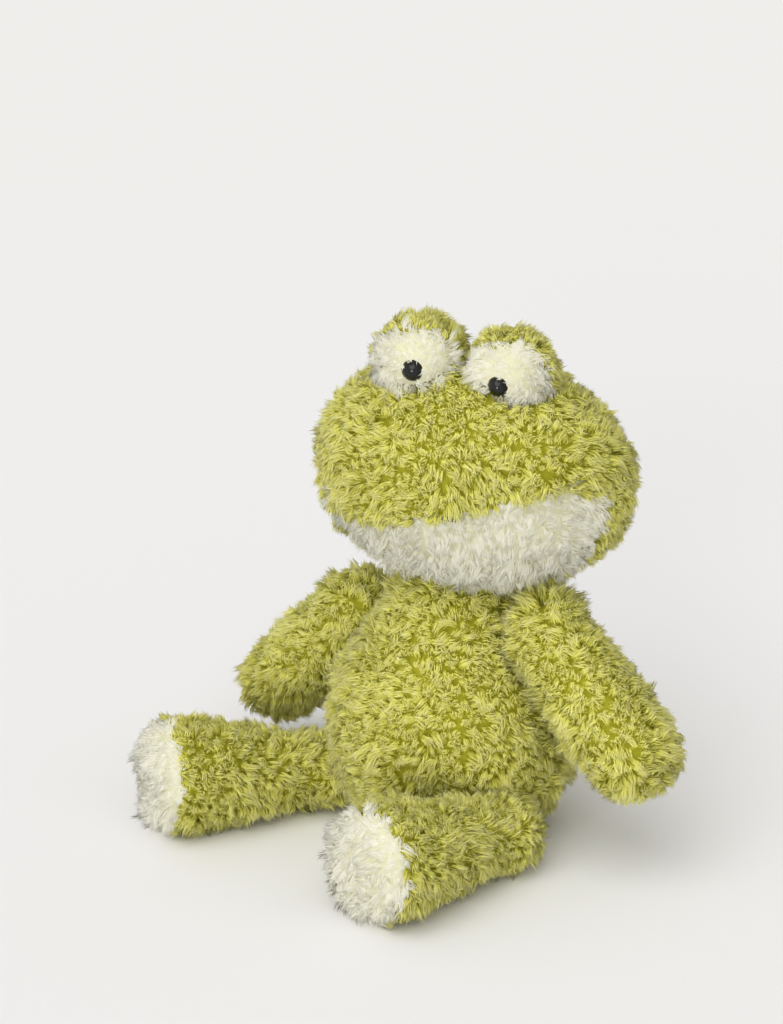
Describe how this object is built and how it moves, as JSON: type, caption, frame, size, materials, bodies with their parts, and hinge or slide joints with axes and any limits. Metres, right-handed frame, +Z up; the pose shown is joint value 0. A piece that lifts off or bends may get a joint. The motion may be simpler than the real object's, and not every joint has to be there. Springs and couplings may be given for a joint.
{
  "type": "plush frog",
  "caption": "Seated plush frog of curly green and cream fur cloth, with domed eye mounds, mitten hands, round soles and sewn joints that bend.",
  "frame": {"origin": "on the floor, under the middle of the torso's flat seat", "axes": "+Z up, the torso faces -Y, and the frog's left side is +X"},
  "size_m": [0.2176, 0.1598, 0.2176],
  "materials": {
    "green_fur": "curly pile, matt",
    "cream_fur": "curly pile, matt",
    "black_button": "polished",
    "white_plastic": "moulded",
    "dark_thread": "stranded thread",
    "green_thread": "stranded thread",
    "stuffing": "fibre",
    "pouch_cloth": "plain weave"
  },
  "bodies": {
    "torso": {"torso_front_panel": "green_fur", "torso_back_left_panel": "green_fur", "torso_back_right_panel": "green_fur", "torso_stuffing": "stuffing", "seat_pellet_pouch": "pouch_cloth", "back_closing_thread": "green_thread"},
    "neck_seam": {"neck_seam_thread": "green_thread"},
    "neck_tie": {"neck_tie_thread": "green_thread"},
    "head": {"face_panel": "green_fur", "jaw_panel": "cream_fur", "head_back_panel": "green_fur", "head_stuffing": "stuffing", "mouth_stitch": "dark_thread", "eye_left_white_panel": "cream_fur", "eye_left_hood_panel": "green_fur", "eye_left_stuffing": "stuffing", "eye_left_button": "black_button", "eye_left_washer": "white_plastic", "eye_right_white_panel": "cream_fur", "eye_right_hood_panel": "green_fur", "eye_right_stuffing": "stuffing", "eye_right_button": "black_button", "eye_right_washer": "white_plastic"},
    "shoulder_left_seam": {"shoulder_left_thread": "green_thread"},
    "arm_left": {"arm_left_front_panel": "green_fur", "arm_left_back_panel": "green_fur", "arm_left_stuffing": "stuffing"},
    "shoulder_right_seam": {"shoulder_right_thread": "green_thread"},
    "arm_right": {"arm_right_front_panel": "green_fur", "arm_right_back_panel": "green_fur", "arm_right_stuffing": "stuffing"},
    "hip_left_seam": {"hip_left_thread": "green_thread"},
    "leg_left": {"leg_left_upper_panel": "green_fur", "leg_left_lower_panel": "green_fur", "leg_left_stuffing": "stuffing", "sole_left": "cream_fur"},
    "hip_right_seam": {"hip_right_thread": "green_thread"},
    "leg_right": {"leg_right_upper_panel": "green_fur", "leg_right_lower_panel": "green_fur", "leg_right_stuffing": "stuffing", "sole_right": "cream_fur"}
  },
  "joints": [
    {"name": "neck_turn", "type": "hinge", "parent": "torso", "child": "neck_seam", "pos_m": [0, 0, 0.0791], "axis": [0, 0, 1], "range_deg": [-45, 25], "stiffness_Nm_per_rad": 0.3},
    {"name": "neck_nod", "type": "hinge", "parent": "neck_seam", "child": "neck_tie", "pos_m": [0, 0, 0.0791], "axis": [0.9397, 0.342, 0], "range_deg": [-9, 7], "stiffness_Nm_per_rad": 1.2},
    {"name": "neck_tilt", "type": "hinge", "parent": "neck_tie", "child": "head", "pos_m": [0, 0, 0.0791], "axis": [-0.342, 0.9397, 0], "range_deg": [-12, 1], "stiffness_Nm_per_rad": 1.2},
    {"name": "shoulder_left_swing", "type": "hinge", "parent": "torso", "child": "shoulder_left_seam", "pos_m": [0.04646, -0.00397, 0.09036], "axis": [0.8472, -0.0601, 0.5279], "range_deg": [-35, 35], "stiffness_Nm_per_rad": 0.3},
    {"name": "shoulder_left_lift", "type": "hinge", "parent": "shoulder_left_seam", "child": "arm_left", "pos_m": [0.04646, -0.00397, 0.09036], "axis": [-0.0628, -0.9979, -0.0129], "range_deg": [0, 50], "stiffness_Nm_per_rad": 0.3},
    {"name": "shoulder_right_swing", "type": "hinge", "parent": "torso", "child": "shoulder_right_seam", "pos_m": [-0.05457, 0.00983, 0.07491], "axis": [-0.8739, 0.1908, 0.447], "range_deg": [-25, 25], "stiffness_Nm_per_rad": 0.3},
    {"name": "shoulder_right_lift", "type": "hinge", "parent": "shoulder_right_seam", "child": "arm_right", "pos_m": [-0.05457, 0.00983, 0.07491], "axis": [0.1591, 0.9813, -0.1079], "range_deg": [0, 50], "stiffness_Nm_per_rad": 0.3},
    {"name": "hip_left_splay", "type": "hinge", "parent": "torso", "child": "hip_left_seam", "pos_m": [0.044, -0.03388, 0.01607], "axis": [0, 0, 1], "range_deg": [-4, 25], "stiffness_Nm_per_rad": 0.3},
    {"name": "hip_left_lift", "type": "hinge", "parent": "hip_left_seam", "child": "leg_left", "pos_m": [0.044, -0.03388, 0.01607], "axis": [-0.9659, 0.2588, 0], "range_deg": [-25, 14], "stiffness_Nm_per_rad": 0.3},
    {"name": "hip_right_splay", "type": "hinge", "parent": "torso", "child": "hip_right_seam", "pos_m": [-0.05, -0.02393, 0.01607], "axis": [0, 0, 1], "range_deg": [-25, 8], "stiffness_Nm_per_rad": 0.3},
    {"name": "hip_right_lift", "type": "hinge", "parent": "hip_right_seam", "child": "leg_right", "pos_m": [-0.05, -0.02393, 0.01607], "axis": [-0.8192, 0.5736, 0], "range_deg": [-25, 30], "stiffness_Nm_per_rad": 0.3}
  ]
}
